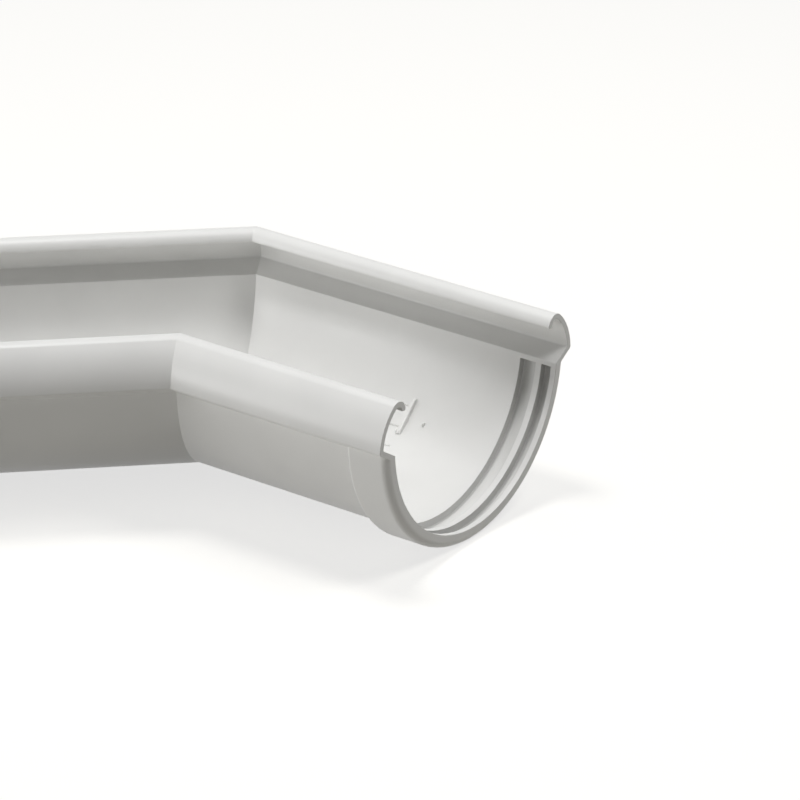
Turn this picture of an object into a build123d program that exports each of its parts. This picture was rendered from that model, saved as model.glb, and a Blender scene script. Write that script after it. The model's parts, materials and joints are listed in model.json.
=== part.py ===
from build123d import *
from math import atan2, cos, degrees, radians, sin, sqrt, tan
import os

# Corner fitting for a half-round plastic rain gutter, moulded as one piece.
# Two arms of the same channel section meet at a mitre. Each arm ends in a mouth that takes
# the end of a gutter, and the mouth swells into a collar with two seal grooves inside.
#
# Z is up. X runs across the fitting, and the arms are mirror images about the YZ plane.
# Y points to the outer side of the bend. The origin is under the middle of the fitting.
# The section is drawn across one arm: u runs to the outer side of the bend, and v is the
# height above the axis of the half-round. Lengths are millimetres and angles are degrees.

# Bend and arms
bend_angle = 45.0        # turn from one arm to the other, so the inside angle is 135
arm_length = 143.5       # along the axis of the half-round, from the mitre to the mouth

# Channel section
wall = 2.4               # thickness all round
channel_radius = 62.25   # inside of the half-round, where the gutter lies
ledge_drop = 5.0         # inner edge of the ledge below the axis of the half-round
ledge_slope = 32.0       # rise of the ledge towards the bead
bead_stand = 11.05       # outside of a bead beyond the half-round, where its bow is upright
bead_height = 19.6       # top of a bead above the axis of the half-round
bead_radius = 27.0       # outside of the bowed face of a bead
curl_radius = 5.3        # outside of the curl along the top of a bead
curl_reach = 7.25        # how far the curl reaches in over the half-round
curl_end = 183.0         # where the curl stops, turned from the outward horizontal
ledge_corner = 0.6       # rounding where the ledge meets the half-round
bead_corner = 1.0        # rounding where the ledge turns into the bead
tip_corner = 0.7         # rounding of the free edge of the curl

# Collar round each mouth
collar_length = 20.3     # from the mouth back to the top of the shoulder
collar_step = 4.0        # how far the collar stands out from the half-round
nose_flat = 0.4          # flat left on the collar's end outside the wall of the half-round
shoulder_length = 2.9    # sloping run from the collar down to the half-round
shoulder_corner = 2.0    # rounding at the top of the shoulder
mouth_lip = 2.7          # plain ring between the mouth and the outer groove
outer_groove = 5.1       # width of the groove nearer the mouth
groove_rib = 3.0         # ring between the two grooves
inner_groove = 8.4       # width of the groove further from the mouth
groove_depth = 4.0       # how far both grooves are let into the wall
groove_top = 2.3         # the grooves stop this far below the ledge
groove_bevel = 0.5       # bevel along the edges of the groove floors

half_bend = bend_angle / 2
outer_radius = channel_radius + wall
collar_radius = outer_radius + collar_step

# Centres of the two arcs of a bead. The curl lies inside the bowed face and touches it.
curl_centre = (channel_radius - curl_reach + curl_radius, bead_height - curl_radius)
bead_u = channel_radius + bead_stand - bead_radius
bead_v = curl_centre[1] - sqrt((bead_radius - curl_radius) ** 2 - (curl_centre[0] - bead_u) ** 2)
bead_centre = (bead_u, bead_v)
curl_start = degrees(atan2(curl_centre[1] - bead_v, curl_centre[0] - bead_u))

# Where the ledge leaves the half-round, on its upper and its lower face
ledge_run, ledge_rise = cos(radians(ledge_slope)), sin(radians(ledge_slope))
ledge_top = (sqrt(channel_radius**2 - ledge_drop**2), -ledge_drop)
ledge_under = (ledge_top[0] + wall * ledge_rise, ledge_top[1] - wall * ledge_run)


def along_ledge(start, centre, radius):
    """The point where a line that rises from start at the ledge's slope leaves a circle."""
    du, dv = start[0] - centre[0], start[1] - centre[1]
    half_b = du * ledge_run + dv * ledge_rise
    reach = sqrt(half_b**2 - du**2 - dv**2 + radius**2) - half_b
    return (start[0] + reach * ledge_run, start[1] + reach * ledge_rise)


def bearing(point, centre=(0.0, 0.0)):
    """Direction of point from centre, in degrees from the outward horizontal."""
    return degrees(atan2(point[1] - centre[1], point[0] - centre[0]))


def round_corners(face, points, radius):
    """Fillet the corners of a flat face at the given points and at their mirror images."""
    both = [Vector(*point) for point in points]
    both += [Vector(-point.X, point.Y) for point in both]
    return fillet([face.vertices().sort_by_distance(point)[0] for point in both], radius)


def channel_section():
    """The section of an arm: half-round, two ledges and two beads with curled tops."""
    under_round = along_ledge(ledge_under, (0, 0), outer_radius)
    under_bead = along_ledge(ledge_under, bead_centre, bead_radius)
    top_bead = along_ledge(ledge_top, bead_centre, bead_radius - wall)
    low, high = bearing(under_bead, bead_centre), bearing(top_bead, bead_centre)
    curl = CenterArc(curl_centre, curl_radius, curl_start, curl_end - curl_start)
    curl_inside = CenterArc(curl_centre, curl_radius - wall, curl_start, curl_end - curl_start)
    side = [
        Line(under_round, under_bead),
        CenterArc(bead_centre, bead_radius, low, curl_start - low),
        curl,
        Line(curl @ 1, curl_inside @ 1),
        curl_inside,
        CenterArc(bead_centre, bead_radius - wall, high, curl_start - high),
        Line(top_bead, ledge_top),
    ]
    other_side = [mirror(edge, about=Plane.YZ) for edge in side]
    outside, inside = bearing(under_round), bearing(ledge_top)
    bowl = [
        CenterArc((0, 0), outer_radius, 180 - outside, 180 + 2 * outside),
        CenterArc((0, 0), channel_radius, 180 - inside, 180 + 2 * inside),
    ]
    section = make_face([*side, *other_side, *bowl])
    section = round_corners(section, (curl @ 1, curl_inside @ 1), tip_corner)
    section = round_corners(section, (under_bead, top_bead), bead_corner)
    return round_corners(section, (under_round, ledge_top), ledge_corner)


def turned(outline):
    """Revolve an outline of (radius, distance from the mitre) about the axis of the arm."""
    axis_plane = Plane(origin=(0, 0, 0), x_dir=(1, 0, 0), z_dir=(0, -1, 0))
    return revolve(axis_plane * outline, Axis.Z)


def below_ledges(drop):
    """A block under a pair of planes that run with the ledges, drop below their top faces."""
    edge_u, edge_v = ledge_top[0], ledge_top[1] - drop / ledge_run
    rim = 2 * collar_radius
    rim_v = edge_v + (rim - edge_u) * ledge_rise / ledge_run
    ring = Polyline((rim, -rim), (rim, rim_v), (edge_u, edge_v))
    outline = [ring, mirror(ring, about=Plane.YZ)]
    outline += [Line((edge_u, edge_v), (-edge_u, edge_v)), Line((rim, -rim), (-rim, -rim))]
    return extrude(make_face(outline), 2 * arm_length)


def collar():
    """The swelling round the mouth, with a rounded nose and a sloping shoulder."""
    skin = channel_radius + wall / 2
    top = arm_length - collar_length
    foot = top - shoulder_length
    outline = make_face(
        Polyline(
            (skin, foot),
            (outer_radius, foot),
            (collar_radius, top),
            (collar_radius, arm_length),
            (skin, arm_length),
            close=True,
        )
    )
    corners = outline.vertices()
    nose = corners.sort_by_distance((collar_radius, arm_length, 0))[0]
    outline = fillet(nose, collar_step - nose_flat)
    shoulder = outline.vertices().sort_by_distance((collar_radius, top, 0))[0]
    outline = fillet(shoulder, shoulder_corner)
    return turned(outline) & below_ledges(wall / 2)


def groove(mouth_side, width):
    """A seal groove whose nearer edge is mouth_side from the mouth."""
    centre = arm_length - mouth_side - width / 2
    reach = 2 * groove_depth
    ring = Pos(channel_radius, centre) * Rectangle(reach, width)
    ring = chamfer(ring.vertices().group_by(Axis.X)[-1], groove_bevel)
    top = ledge_top[1] - groove_top
    below = Pos(0, top - collar_radius) * Rectangle(4 * collar_radius, 2 * collar_radius)
    return turned(ring) & extrude(below, 2 * arm_length)


def arm():
    """One arm, drawn along Z from the mitre to the mouth."""
    start = -2 * collar_radius * tan(radians(half_bend))
    body = extrude(Pos(0, 0, start) * channel_section(), arm_length - start)
    body += collar()
    body -= groove(mouth_lip, outer_groove)
    body -= groove(mouth_lip + outer_groove + groove_rib, inner_groove)
    return body


def gutter_angle():
    """Both arms, joined at the mitre and set down on their collars."""
    level_arm = Plane.YZ * arm()
    right = split(Rot(0, 0, -half_bend) * level_arm, bisect_by=Plane.YZ, keep=Keep.TOP)
    left = split(Rot(0, 0, half_bend - 180) * level_arm, bisect_by=Plane.YZ, keep=Keep.BOTTOM)
    whole = right + left
    box = whole.bounding_box()
    return Pos(0, -box.center().Y, -box.min.Z) * whole


if __name__ == "__main__":
    os.makedirs("parts", exist_ok=True)
    part = gutter_angle()
    part.label = "gutter_angle"
    export_step(part, "parts/gutter_angle.step")
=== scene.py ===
import json
from collections import namedtuple
from math import cos, pi, radians, sin

import bmesh
import bpy
from mathutils import Matrix, Vector


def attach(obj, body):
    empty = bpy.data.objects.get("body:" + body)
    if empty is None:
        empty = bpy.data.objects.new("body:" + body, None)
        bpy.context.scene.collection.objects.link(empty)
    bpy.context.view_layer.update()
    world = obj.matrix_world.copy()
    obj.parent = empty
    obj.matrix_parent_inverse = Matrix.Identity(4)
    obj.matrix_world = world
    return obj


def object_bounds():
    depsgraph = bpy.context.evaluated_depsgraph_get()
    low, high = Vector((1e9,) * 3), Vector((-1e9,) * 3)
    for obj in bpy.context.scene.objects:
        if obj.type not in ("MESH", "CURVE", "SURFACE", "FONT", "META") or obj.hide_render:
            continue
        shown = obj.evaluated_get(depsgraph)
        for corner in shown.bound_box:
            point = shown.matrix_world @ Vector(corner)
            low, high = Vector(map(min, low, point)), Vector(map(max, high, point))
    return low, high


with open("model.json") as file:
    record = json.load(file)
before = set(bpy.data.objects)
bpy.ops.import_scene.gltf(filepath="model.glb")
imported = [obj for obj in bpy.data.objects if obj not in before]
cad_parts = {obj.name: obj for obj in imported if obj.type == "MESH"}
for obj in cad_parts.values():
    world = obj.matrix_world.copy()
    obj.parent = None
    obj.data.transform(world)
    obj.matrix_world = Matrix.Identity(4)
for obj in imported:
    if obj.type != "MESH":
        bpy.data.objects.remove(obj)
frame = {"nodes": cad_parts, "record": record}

bl_info = {
    "name": "Gutter Angle",
    "version": (1, 0, 0),
    "blender": (4, 5, 0),
    "location": "View3D > Sidebar > Gutter Angle",
    "description": "Dresses a moulded half-round gutter angle: white plastic and fitting marks",
    "category": "Object",
}

CAD_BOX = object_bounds()
MOUNTS = {mount["name"]: mount for mount in frame["record"]["mounts"]}
SOCKET_RADIUS = MOUNTS["gutter_socket_right"]["dims"]["r_mm"] / 1000
MM = 0.001
UP = Vector((0, 0, 1))
BLACK = (0, 0, 0, 1)
WHITE = (1, 1, 1, 1)
PLASTIC = "white_plastic"

# The plastic's patterns: how often they repeat in a metre, and how strongly they show
CLOUD_SCALE = 28.0
CLOUD_BAND = (0.35, 0.65)
CLOUD_DARK = 0.985
CLOUD_LIGHT = 1.012
CLOUD_GLOSS = 0.16
STREAK_SCALE_ALONG = 6
STREAK_SCALE_ACROSS = 420
STREAK_GLOSS = 0.12
STREAK_DEPTH = 0.5  # a share of the skin's depth
SCUFF_SCALE = 190.0
SCUFF_BAND = (0.6, 0.78)
SCUFF_ON_TOPS = 0.35
SCUFF_TONE = 0.82
SCUFF_COVER = 0.25
SCUFF_GLOSS = 0.18
REST_BAND = 2.5 * MM  # how far up the places that the fitting rests on are scuffed
TOP_BAND = 3 * MM  # how far down the tops of the beads are scuffed
# painted shade: how sharply the shade painted into recesses grows with how closed in they are
PAINTED_SHADE_FALLOFF = 1.5
PLASTIC_IOR = 1.53
PLASTIC_SPECULAR = 0.45
RAY_SAMPLES = 6

# The fitting marks
SUNK = 0.2 * MM  # how deep the relief starts inside the wall
ROW_TURN = radians(1)  # the bearing between two rows of a ridge
END_HEIGHT = 0.4  # how high a ridge is at its ends, as a share of its height
STOP_PROFILE = (  # distance from the rib's mouth side and height, as shares of its width and height
    (0.0, 0.0), (0.12, 0.85), (0.3, 1.0), (0.45, 0.93), (1.0, 0.0),
)
HOOK_START = 0.2 * MM  # the hook's sole starts inside the stop rib
HOOK_NEAR = 0.9 * MM  # its upright starts and ends this far beyond the rib's middle
HOOK_FAR = 1.9 * MM
HOOK_LEAN = 1.3 * MM  # how much further the upright's head is from the mouth than its toe
HOOK_DROP = 0.5 * MM  # how far the hook reaches below the foot of the stop rib
HOOK_SOLE = 0.3 * MM  # how far its sole reaches above that foot
HOOK_HEAD = 1.9 * MM  # how far its head reaches above that foot
TICKS = (
    # bearing, distance beyond the stop rib
    (radians(-60), 0.6 * MM),
    (radians(-50), 2.6 * MM),
    (radians(-40), 2.6 * MM),
)
PIP_PROFILE = ((0.97, 0.6), (0.85, 0.85), (0.5, 1.0))  # shares of its reach and of its height
PIP_POINTS = 20

# The studio
FLOOR_REACH = 6
FLOOR_GAP = 0.2 * MM
LIT_POINT = Vector((0, 0, 0.04))  # what every lamp faces
LAMP_REACH = 1.7
Lamp = namedtuple("Lamp", "name bearing height width power")
LAMPS = (
    # bearing round the fitting and height in degrees, width in metres, power in watts
    Lamp("top_light", bearing=180, height=82, width=0.4, power=12.6),
    Lamp("right_light", bearing=0, height=62, width=0.6, power=10.1),
    Lamp("back_light", bearing=90, height=62, width=0.6, power=2.4),
    Lamp("far_left_light", bearing=190, height=9, width=0.4, power=2.6),
    Lamp("left_light", bearing=205, height=9, width=0.4, power=5.8),
    Lamp("low_left_light", bearing=215, height=3.5, width=0.2, power=1.4),
    Lamp("low_front_light", bearing=235, height=3.5, width=0.2, power=2.7),
)
SENSOR_WIDTH = 36
VIEW_REACH = 20


class Arm:
    """One arm of the fitting, placed by the socket that the record gives for its mouth."""

    def __init__(self, side):
        socket = MOUNTS[f"gutter_socket_{side}"]
        self.side = side
        self.mouth = Vector(socket["pos_m"])
        self.out = Vector(socket["axis"])
        across = UP.cross(self.out)
        self.across = across if across.y > 0 else -across

    def on_wall(self, from_mouth, bearing, rise):
        """A point over the inside of the half-round: bearing is up from the outer horizontal."""
        spoke = self.across * cos(bearing) + UP * sin(bearing)
        return self.mouth - self.out * from_mouth + spoke * (SOCKET_RADIUS - rise)


ARMS = [Arm("right"), Arm("left")]


# Sizes and colours


class GutterPlastic(bpy.types.PropertyGroup):
    colour: bpy.props.FloatVectorProperty(
        name="Colour", description="Colour of the moulded plastic",
        subtype="COLOR", size=3, min=0, max=1, default=(0.87, 0.868, 0.85),
    )
    roughness: bpy.props.FloatProperty(
        name="Roughness", description="Roughness of the clean moulded surface",
        min=0, max=1, default=0.36,
    )
    skin_size: bpy.props.FloatProperty(
        name="Skin size", description="Width of the fine waves in the moulded skin",
        unit="LENGTH", default=0.9 * MM,
    )
    skin_depth: bpy.props.FloatProperty(
        name="Skin depth", description="Depth of the fine waves in the moulded skin",
        unit="LENGTH", default=0.006 * MM,
    )
    edge_softness: bpy.props.FloatProperty(
        name="Edge softness", description="Radius that the moulded edges seem rounded to",
        unit="LENGTH", default=0.35 * MM,
    )
    # Painted shade: the next two settings say where and how strongly shade is painted into the
    # plastic's colour
    recess_reach: bpy.props.FloatProperty(
        name="Recess reach",
        description="How near the opposite surface is where the tone deepens",
        unit="LENGTH", default=15 * MM,
    )
    recess_depth: bpy.props.FloatProperty(
        name="Recess depth",
        description="How much deeper the tone is inside the grooves and corners",
        min=0, max=1, default=0.5,
    )


class GutterMarks(bpy.types.PropertyGroup):
    stop_from_mouth: bpy.props.FloatProperty(
        name="Stop rib", description="Distance of the stop rib from the mouth",
        unit="LENGTH", default=68.0 * MM,
    )
    stop_width: bpy.props.FloatProperty(
        name="Stop width", description="Thickness of the stop rib along the arm",
        unit="LENGTH", default=2.0 * MM,
    )
    stop_height: bpy.props.FloatProperty(
        name="Stop height", description="Height of the stop rib over the wall",
        unit="LENGTH", default=1.4 * MM,
    )
    stop_crown: bpy.props.FloatProperty(
        name="Stop crown",
        description="Extra height at the middle of the stop rib, which keeps its crest straight",
        unit="LENGTH", default=0.3 * MM,
    )
    stop_top: bpy.props.FloatProperty(
        name="Stop top", description="Bearing of the upper end of the stop rib",
        subtype="ANGLE", default=radians(-36.5),
    )
    stop_foot: bpy.props.FloatProperty(
        name="Stop foot", description="Bearing of the lower end of the stop rib",
        subtype="ANGLE", default=radians(-53.3),
    )
    hook_height: bpy.props.FloatProperty(
        name="Hook height", description="Height of the small hook at the foot of the stop rib",
        unit="LENGTH", default=0.8 * MM,
    )
    tick_height: bpy.props.FloatProperty(
        name="Tick height", description="Height of the scale's ticks over the wall",
        unit="LENGTH", default=0.6 * MM,
    )
    tick_length: bpy.props.FloatProperty(
        name="Tick length", description="Length of the scale's ticks along the arm",
        unit="LENGTH", default=6.0 * MM,
    )
    tick_width: bpy.props.FloatProperty(
        name="Tick width", description="Width of the scale's ticks across the arm",
        unit="LENGTH", default=0.8 * MM,
    )
    pip_height: bpy.props.FloatProperty(
        name="Pip height", description="Height of the small moulding pip over the wall",
        unit="LENGTH", default=1.4 * MM,
    )
    pip_reach: bpy.props.FloatVectorProperty(
        name="Pip reach", description="Half the size of the pip, along the arm and across it",
        unit="LENGTH", size=2, default=(0.75 * MM, 1.0 * MM),
    )
    pip_from_stop: bpy.props.FloatProperty(
        name="Pip place", description="Distance of the pip from the stop rib, towards the mouth",
        unit="LENGTH", default=9.4 * MM,
    )
    pip_bearing: bpy.props.FloatProperty(
        name="Pip bearing", description="Bearing of the pip",
        subtype="ANGLE", default=radians(-46.0),
    )


class GutterStudio(bpy.types.PropertyGroup):
    floor_colour: bpy.props.FloatVectorProperty(
        name="Floor", description="Colour of the floor as it lights the fitting",
        subtype="COLOR", size=3, min=0, max=1, default=(0.41, 0.4, 0.37),
    )
    floor_glow: bpy.props.FloatProperty(
        name="Floor glow",
        description="Light that the camera sees on the floor beside what the lamps give it",
        min=0, default=0.7,
    )
    light_level: bpy.props.FloatProperty(
        name="Light level", description="Strength of all the lamps together", min=0, default=1.0,
    )
    camera_place: bpy.props.FloatVectorProperty(
        name="Camera", description="Place of the camera",
        subtype="TRANSLATION", unit="LENGTH", size=3, default=(0.4664, -1.6803, 0.8241),
    )
    camera_heading: bpy.props.FloatProperty(
        name="Heading", description="Turn of the camera from facing the outer corner",
        subtype="ANGLE", default=radians(12.619),
    )
    camera_drop: bpy.props.FloatProperty(
        name="Drop", description="How far the camera looks down",
        subtype="ANGLE", default=radians(24.255),
    )
    camera_roll: bpy.props.FloatProperty(
        name="Roll", description="Roll of the camera",
        subtype="ANGLE", default=radians(1.099),
    )
    focal_length: bpy.props.FloatProperty(
        name="Focal length", description="Focal length on a 36 mm sensor, in millimetres",
        min=1, default=189.8,
    )


# Shader maths


class Term:
    """A socket that gives a number, which can be written in an expression."""

    def __init__(self, shader, socket):
        self.shader = shader
        self.socket = socket

    def math(self, operation, *others):
        """The term that a Math node gives for this term and the others."""
        return self.shader.math(operation, self, *others)

    def __add__(self, other):
        return self.math("ADD", other)

    def __radd__(self, other):
        return self.shader.math("ADD", other, self)

    def __sub__(self, other):
        return self.math("SUBTRACT", other)

    def __rsub__(self, other):
        return self.shader.math("SUBTRACT", other, self)

    def __mul__(self, other):
        return self.math("MULTIPLY", other)

    def __rmul__(self, other):
        return self.shader.math("MULTIPLY", other, self)

    def __abs__(self):
        return self.math("ABSOLUTE")

    def between(self, low, high):
        """Rises smoothly from 0 at low to 1 at high."""
        settings = {"interpolation_type": "SMOOTHSTEP"}
        step = self.shader.node(
            "ShaderNodeMapRange", settings, Value=self, From_Min=low, From_Max=high,
        )
        return Term(self.shader, step.outputs["Result"])


class Shader:
    """The nodes of a material or world, all made by one method."""

    def __init__(self, holder):
        holder.use_nodes = True
        self.tree = holder.node_tree
        self.tree.nodes.clear()

    def node(self, kind, settings=None, **sockets):
        """A node with its settings made first and then its sockets filled or linked.

        A keyword names a socket: Base_Color is Base Color, and _6 is number 6.
        """
        made = self.tree.nodes.new(kind)
        for name, value in (settings or {}).items():
            setattr(made, name, value)
        for name, value in sockets.items():
            socket = made.inputs[int(name[1:]) if name[0] == "_" else name.replace("_", " ")]
            value = value.socket if isinstance(value, Term) else value
            if isinstance(value, bpy.types.NodeSocket):
                self.tree.links.new(value, socket)
            else:
                socket.default_value = value
        return made

    def math(self, operation, *values):
        """The term that a Math node gives for these values."""
        sockets = {f"_{number}": value for number, value in enumerate(values)}
        made = self.node("ShaderNodeMath", {"operation": operation}, **sockets)
        return Term(self, made.outputs[0])

    def mix(self, factor, first, second):
        """A colour that goes from first to second."""
        settings = {"data_type": "RGBA"}
        return self.node("ShaderNodeMix", settings, _0=factor, _6=first, _7=second).outputs[2]

    def noise(self, place, scale, detail=2.0, roughness=0.5):
        """A cloudy pattern around 0.5."""
        made = self.node(
            "ShaderNodeTexNoise", Vector=place, Scale=scale, Detail=detail, Roughness=roughness,
        )
        return Term(self, made.outputs["Fac"])

    def seen_directly(self):
        """1 for what the camera, a mirror or glass shows, and 0 for light on the fitting."""
        rays = self.node("ShaderNodeLightPath").outputs
        seen = Term(self, rays["Is Camera Ray"])
        for name in ("Is Glossy Ray", "Is Transmission Ray"):
            seen = seen.math("MAXIMUM", rays[name])
        return seen


def shade(colour, factor):
    """A plain colour made lighter or darker, with full alpha."""
    return (*(min(1.0, channel * factor) for channel in colour), 1.0)


def flow_lines(shader, x, y, z):
    """Fine streaks that run along the arms, as the plastic flowed in the mould."""
    right = ARMS[0]
    along = abs(x) * right.out.x + y * right.out.y
    across = abs(x) * right.across.x + y * right.across.y
    place = shader.node(
        "ShaderNodeCombineXYZ",
        X=along * STREAK_SCALE_ALONG, Y=across * STREAK_SCALE_ACROSS, Z=z * STREAK_SCALE_ACROSS,
    )
    return shader.noise(place.outputs[0], 1.0, detail=3)


def scuffs(shader, place, z):
    """Light rubs on the places that the fitting rests on, and fewer on the tops of the beads."""
    rub = shader.noise(place, SCUFF_SCALE, detail=5, roughness=0.7).between(*SCUFF_BAND)
    rests = 1 - z.between(0.0, REST_BAND)
    top = CAD_BOX[1][2]
    tops = z.between(top - TOP_BAND, top)
    return (rub * (rests + tops * SCUFF_ON_TOPS)).math("MINIMUM", 1.0)


def painted_shade_mask(shader, reach):
    """How strongly shade is painted at a place, from how closed in it is: 0 in the open, and up to
    1 deep inside a groove.
    """
    settings = {"samples": RAY_SAMPLES, "only_local": True}
    openness = shader.node("ShaderNodeAmbientOcclusion", settings, Distance=reach).outputs["AO"]
    closed = (1 - Term(shader, openness)).math("MAXIMUM", 0.0)
    return closed.math("POWER", PAINTED_SHADE_FALLOFF)


def moulded_plastic(name, plastic):
    """White plastic with a fine skin, flow lines, light scuffs and painted shade in recesses."""
    material = bpy.data.materials.new(name)
    shader = Shader(material)
    place = shader.node("ShaderNodeTexCoord").outputs["Object"]
    parts = shader.node("ShaderNodeSeparateXYZ", Vector=place).outputs
    x, y, z = (Term(shader, part) for part in parts)

    grain = shader.noise(place, 1 / plastic.skin_size, detail=3)
    cloud = shader.noise(place, CLOUD_SCALE, detail=4)
    streaks = flow_lines(shader, x, y, z)
    scuff = scuffs(shader, place, z)
    painted_shade = painted_shade_mask(shader, plastic.recess_reach)

    dark, light = (shade(plastic.colour, factor) for factor in (CLOUD_DARK, CLOUD_LIGHT))
    tint = shader.mix(cloud.between(*CLOUD_BAND), dark, light)
    rubbed = shader.mix(scuff * SCUFF_COVER, tint, shade(plastic.colour, SCUFF_TONE))
    # Painted shade: the colour darkens towards black in grooves and corners, where shade falls
    colour = shader.mix(painted_shade * plastic.recess_depth, rubbed, BLACK)
    roughness = plastic.roughness + (cloud - 0.5) * CLOUD_GLOSS
    roughness = roughness + (streaks - 0.5) * STREAK_GLOSS + scuff * SCUFF_GLOSS

    softened = shader.node(
        "ShaderNodeBevel", {"samples": RAY_SAMPLES}, Radius=plastic.edge_softness,
    ).outputs[0]
    skin = grain * plastic.skin_depth + streaks * (STREAK_DEPTH * plastic.skin_depth)
    bump = shader.node(
        "ShaderNodeBump", Distance=1.0, Strength=1.0, Height=skin, Normal=softened,
    ).outputs[0]
    surface = shader.node(
        "ShaderNodeBsdfPrincipled",
        Base_Color=colour, Roughness=roughness, Normal=bump,
        IOR=PLASTIC_IOR, Specular_IOR_Level=PLASTIC_SPECULAR,
    )
    shader.node("ShaderNodeOutputMaterial", Surface=surface.outputs[0])
    return material


# Pieces


def around(length):
    """The bearing that a length round the inside of the half-round covers."""
    return length / SOCKET_RADIUS


def join_rings(mesh, rings):
    """Closes a row of rings, all with the same number of points, into one shell."""
    for one, two in zip(rings, rings[1:]):
        for corner in range(len(one)):
            after = (corner + 1) % len(one)
            mesh.faces.new((one[corner], one[after], two[after], two[corner]))
    mesh.faces.new(rings[0][::-1])
    mesh.faces.new(rings[-1])


def ridge(mesh, arm, profile, bearings, crown=0.0, lean=0.0):
    """A ridge inside the half-round: profile gives its height at each distance from the mouth.

    Its height grows by crown at the middle, so that a long ridge keeps a straight crest, and its
    last end lies lean further from the mouth than its first.
    """
    first, last = bearings
    steps = max(2, round(abs(last - first) / ROW_TURN))
    rows = []
    for step in range(steps + 1):
        part = step / steps
        bearing = first + (last - first) * part
        swell = crown * 4 * part * (1 - part)
        full = END_HEIGHT if step in (0, steps) else 1
        points = [(from_mouth, (rise + swell) * full) for from_mouth, rise in profile]
        points = [(profile[0][0], -SUNK), *points, (profile[-1][0], -SUNK)]
        rows.append([
            mesh.verts.new(arm.on_wall(from_mouth + lean * part, bearing, rise))
            for from_mouth, rise in points
        ])
    join_rings(mesh, rows)


def bar(mesh, arm, along, bearings, rise, lean=0.0):
    """A low bar with its edges eased."""
    near, far = along
    ease = min(0.3 * rise, 0.25 * (far - near))
    profile = (
        (near, 0.0), (near + 0.4 * ease, rise - ease), (near + ease, rise),
        (far - ease, rise), (far - 0.4 * ease, rise - ease), (far, 0.0),
    )
    ridge(mesh, arm, profile, bearings, lean=lean)


def pip(mesh, arm, from_mouth, bearing, reach, height):
    """A small raised pip with a rounded top: reach is half its size along the arm and across it."""
    profile = [(1.0, -SUNK), *((share, part * height) for share, part in PIP_PROFILE)]
    rings = []
    for share, rise in profile:
        ring = []
        for step in range(PIP_POINTS):
            angle = 2 * pi * step / PIP_POINTS
            along = from_mouth + share * reach[0] * cos(angle)
            turn = around(share * reach[1] * sin(angle))
            ring.append(mesh.verts.new(arm.on_wall(along, bearing + turn, rise)))
        rings.append(ring)
    join_rings(mesh, rings)


def piece(name, mesh):
    """Turns mesh work into a named piece of the fitting, in its plastic."""
    bmesh.ops.recalc_face_normals(mesh, faces=mesh.faces)
    data = bpy.data.meshes.new(name)
    mesh.to_mesh(data)
    mesh.free()
    made = bpy.data.objects.new(name, data)
    bpy.context.scene.collection.objects.link(made)
    data.materials.append(bpy.data.materials[PLASTIC])
    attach(made, "root")


class GUTTER_OT_moulding(bpy.types.Operator):
    """Give the moulding its white plastic"""

    bl_idname = "gutter.moulding"
    bl_label = "Moulding"

    def execute(self, context):
        body = frame["nodes"]["gutter_angle"]
        body.data.materials.clear()
        body.data.materials.append(moulded_plastic(PLASTIC, context.scene.gutter_plastic))
        return {"FINISHED"}


class GUTTER_OT_stop_ribs(bpy.types.Operator):
    """Raise the stop rib and the small hook at its foot inside each arm"""

    bl_idname = "gutter.stop_ribs"
    bl_label = "Stop ribs"

    def execute(self, context):
        marks = context.scene.gutter_marks
        for arm in ARMS:
            mesh = bmesh.new()
            self.rib(mesh, arm, marks)
            self.hook(mesh, arm, marks)
            piece(f"stop_rib_{arm.side}", mesh)
        return {"FINISHED"}

    def rib(self, mesh, arm, marks):
        mouth_side = marks.stop_from_mouth - marks.stop_width / 2
        profile = [
            (mouth_side + across * marks.stop_width, up * marks.stop_height)
            for across, up in STOP_PROFILE
        ]
        ridge(mesh, arm, profile, (marks.stop_foot, marks.stop_top), crown=marks.stop_crown)

    def hook(self, mesh, arm, marks):
        stop, foot, height = marks.stop_from_mouth, marks.stop_foot, marks.hook_height
        toe, sole, head = (foot + around(up) for up in (-HOOK_DROP, HOOK_SOLE, HOOK_HEAD))
        bar(mesh, arm, (stop + HOOK_NEAR, stop + HOOK_FAR), (toe, head), height, lean=HOOK_LEAN)
        bar(mesh, arm, (stop + HOOK_START, stop + HOOK_FAR), (toe, sole), height)


class GUTTER_OT_scale_ticks(bpy.types.Operator):
    """Raise the three scale ticks beside each stop rib"""

    bl_idname = "gutter.scale_ticks"
    bl_label = "Scale ticks"

    def execute(self, context):
        marks = context.scene.gutter_marks
        half = around(marks.tick_width / 2)
        for arm in ARMS:
            mesh = bmesh.new()
            for bearing, beyond_stop in TICKS:
                near = marks.stop_from_mouth + beyond_stop
                along = (near, near + marks.tick_length)
                bar(mesh, arm, along, (bearing - half, bearing + half), marks.tick_height)
            piece(f"scale_ticks_{arm.side}", mesh)
        return {"FINISHED"}


class GUTTER_OT_gate_pips(bpy.types.Operator):
    """Raise the small moulding pip inside each arm"""

    bl_idname = "gutter.gate_pips"
    bl_label = "Gate pips"

    def execute(self, context):
        marks = context.scene.gutter_marks
        from_mouth = marks.stop_from_mouth - marks.pip_from_stop
        for arm in ARMS:
            mesh = bmesh.new()
            pip(mesh, arm, from_mouth, marks.pip_bearing, marks.pip_reach, marks.pip_height)
            piece(f"gate_pip_{arm.side}", mesh)
        return {"FINISHED"}


# Stage


def studio_floor(name, studio):
    """A floor that lights the fitting as its colour does, and looks white with a soft shadow."""
    material = bpy.data.materials.new(name)
    shader = Shader(material)
    paint = shader.node("ShaderNodeBsdfDiffuse", Color=(*studio.floor_colour, 1.0)).outputs[0]
    light = shader.mix(shader.seen_directly(), BLACK, WHITE)
    glow = shader.node("ShaderNodeEmission", Color=light, Strength=studio.floor_glow).outputs[0]
    both = shader.node("ShaderNodeAddShader", _0=paint, _1=glow).outputs[0]
    shader.node("ShaderNodeOutputMaterial", Surface=both)
    return material


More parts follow.
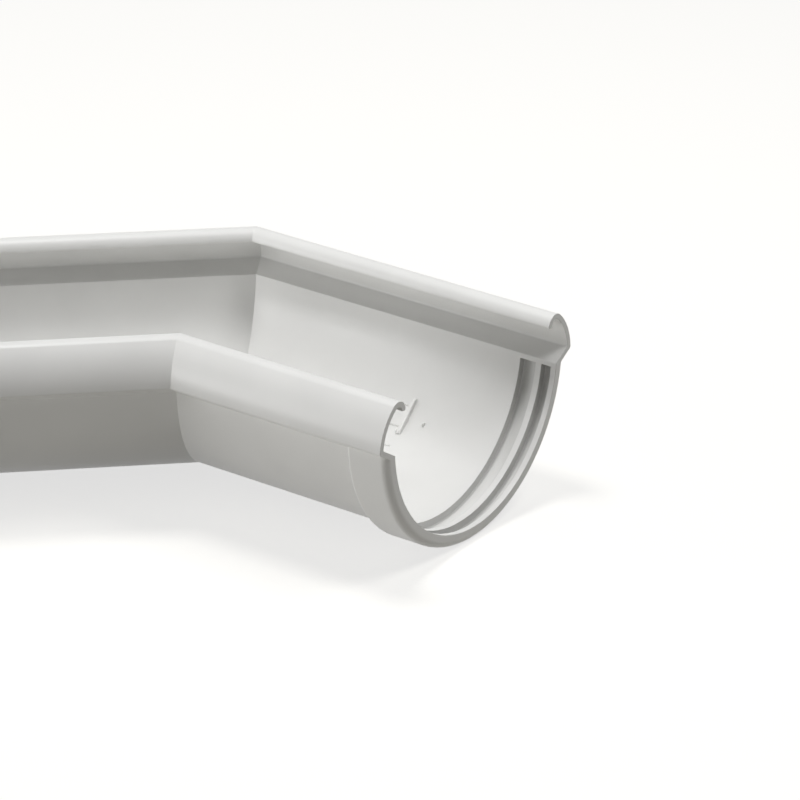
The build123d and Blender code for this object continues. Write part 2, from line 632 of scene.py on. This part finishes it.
def soft_light(lamp, level):
    """A square softbox that faces the fitting."""
    data = bpy.data.lights.new(lamp.name, "AREA")
    data.shape = "SQUARE"
    data.size = lamp.width
    data.energy = lamp.power * level
    made = bpy.data.objects.new(lamp.name, data)
    turn = Matrix.Rotation(radians(lamp.bearing), 3, "Z")
    tilt = Matrix.Rotation(radians(-lamp.height), 3, "Y")
    outward = turn @ tilt @ Vector((1, 0, 0))
    made.location = LIT_POINT + outward * LAMP_REACH
    made.rotation_euler = outward.to_track_quat("Z", "Y").to_euler()
    bpy.context.scene.collection.objects.link(made)


class GUTTER_OT_stage(bpy.types.Operator):
    """Set up the pale floor, the soft studio light and the camera"""

    bl_idname = "gutter.stage"
    bl_label = "Stage"

    def execute(self, context):
        studio = context.scene.gutter_studio
        self.floor(studio)
        self.world(context.scene)
        for lamp in LAMPS:
            soft_light(lamp, studio.light_level)
        self.camera(context.scene, studio)
        context.scene.view_settings.view_transform = "Standard"
        return {"FINISHED"}

    def floor(self, studio):
        mesh = bmesh.new()
        bmesh.ops.create_grid(mesh, x_segments=1, y_segments=1, size=FLOOR_REACH)
        data = bpy.data.meshes.new("floor")
        mesh.to_mesh(data)
        mesh.free()
        floor = bpy.data.objects.new("floor", data)
        floor.location.z = CAD_BOX[0][2] - FLOOR_GAP
        data.materials.append(studio_floor("floor_white", studio))
        bpy.context.scene.collection.objects.link(floor)

    def world(self, scene):
        scene.world = bpy.data.worlds.new("studio")
        shader = Shader(scene.world)
        light = shader.mix(shader.seen_directly(), BLACK, WHITE)
        glow = shader.node("ShaderNodeBackground", Color=light).outputs[0]
        shader.node("ShaderNodeOutputWorld", Surface=glow)

    def camera(self, scene, studio):
        data = bpy.data.cameras.new("camera")
        data.sensor_width = SENSOR_WIDTH
        data.lens = studio.focal_length
        data.clip_end = VIEW_REACH
        camera = bpy.data.objects.new("camera", data)
        place = Matrix.Translation(studio.camera_place)
        turn = Matrix.Rotation(studio.camera_heading, 4, "Z")
        tip = Matrix.Rotation(pi / 2 - studio.camera_drop, 4, "X")
        roll = Matrix.Rotation(studio.camera_roll, 4, "Z")
        camera.matrix_world = place @ turn @ tip @ roll
        scene.collection.objects.link(camera)
        scene.camera = camera


class GUTTER_PT_panel(bpy.types.Panel):
    """Lists the settings and the steps that build the fitting's looks"""

    bl_idname = "GUTTER_PT_panel"
    bl_label = "Gutter Angle"
    bl_space_type = "VIEW_3D"
    bl_region_type = "UI"
    bl_category = "Gutter Angle"

    def draw(self, context):
        scene = context.scene
        marks = (GUTTER_OT_stop_ribs, GUTTER_OT_scale_ticks, GUTTER_OT_gate_pips)
        for operators, settings in (
            ((GUTTER_OT_moulding,), scene.gutter_plastic),
            (marks, scene.gutter_marks),
            ((GUTTER_OT_stage,), scene.gutter_studio),
        ):
            box = self.layout.box()
            for operator in operators:
                box.operator(operator.bl_idname)
            for name in settings.__annotations__:
                box.prop(settings, name)


CLASSES = (
    GutterPlastic,
    GutterMarks,
    GutterStudio,
    GUTTER_OT_moulding,
    GUTTER_OT_stop_ribs,
    GUTTER_OT_scale_ticks,
    GUTTER_OT_gate_pips,
    GUTTER_OT_stage,
    GUTTER_PT_panel,
)


def register():
    for made in CLASSES:
        bpy.utils.register_class(made)
    bpy.types.Scene.gutter_plastic = bpy.props.PointerProperty(type=GutterPlastic)
    bpy.types.Scene.gutter_marks = bpy.props.PointerProperty(type=GutterMarks)
    bpy.types.Scene.gutter_studio = bpy.props.PointerProperty(type=GutterStudio)


def unregister():
    del bpy.types.Scene.gutter_studio
    del bpy.types.Scene.gutter_marks
    del bpy.types.Scene.gutter_plastic
    for made in reversed(CLASSES):
        bpy.utils.unregister_class(made)


def main():
    register()
    bpy.ops.gutter.moulding()
    bpy.ops.gutter.stop_ribs()
    bpy.ops.gutter.scale_ticks()
    bpy.ops.gutter.gate_pips()
    bpy.ops.gutter.stage()


if __name__ == "__main__":
    main()
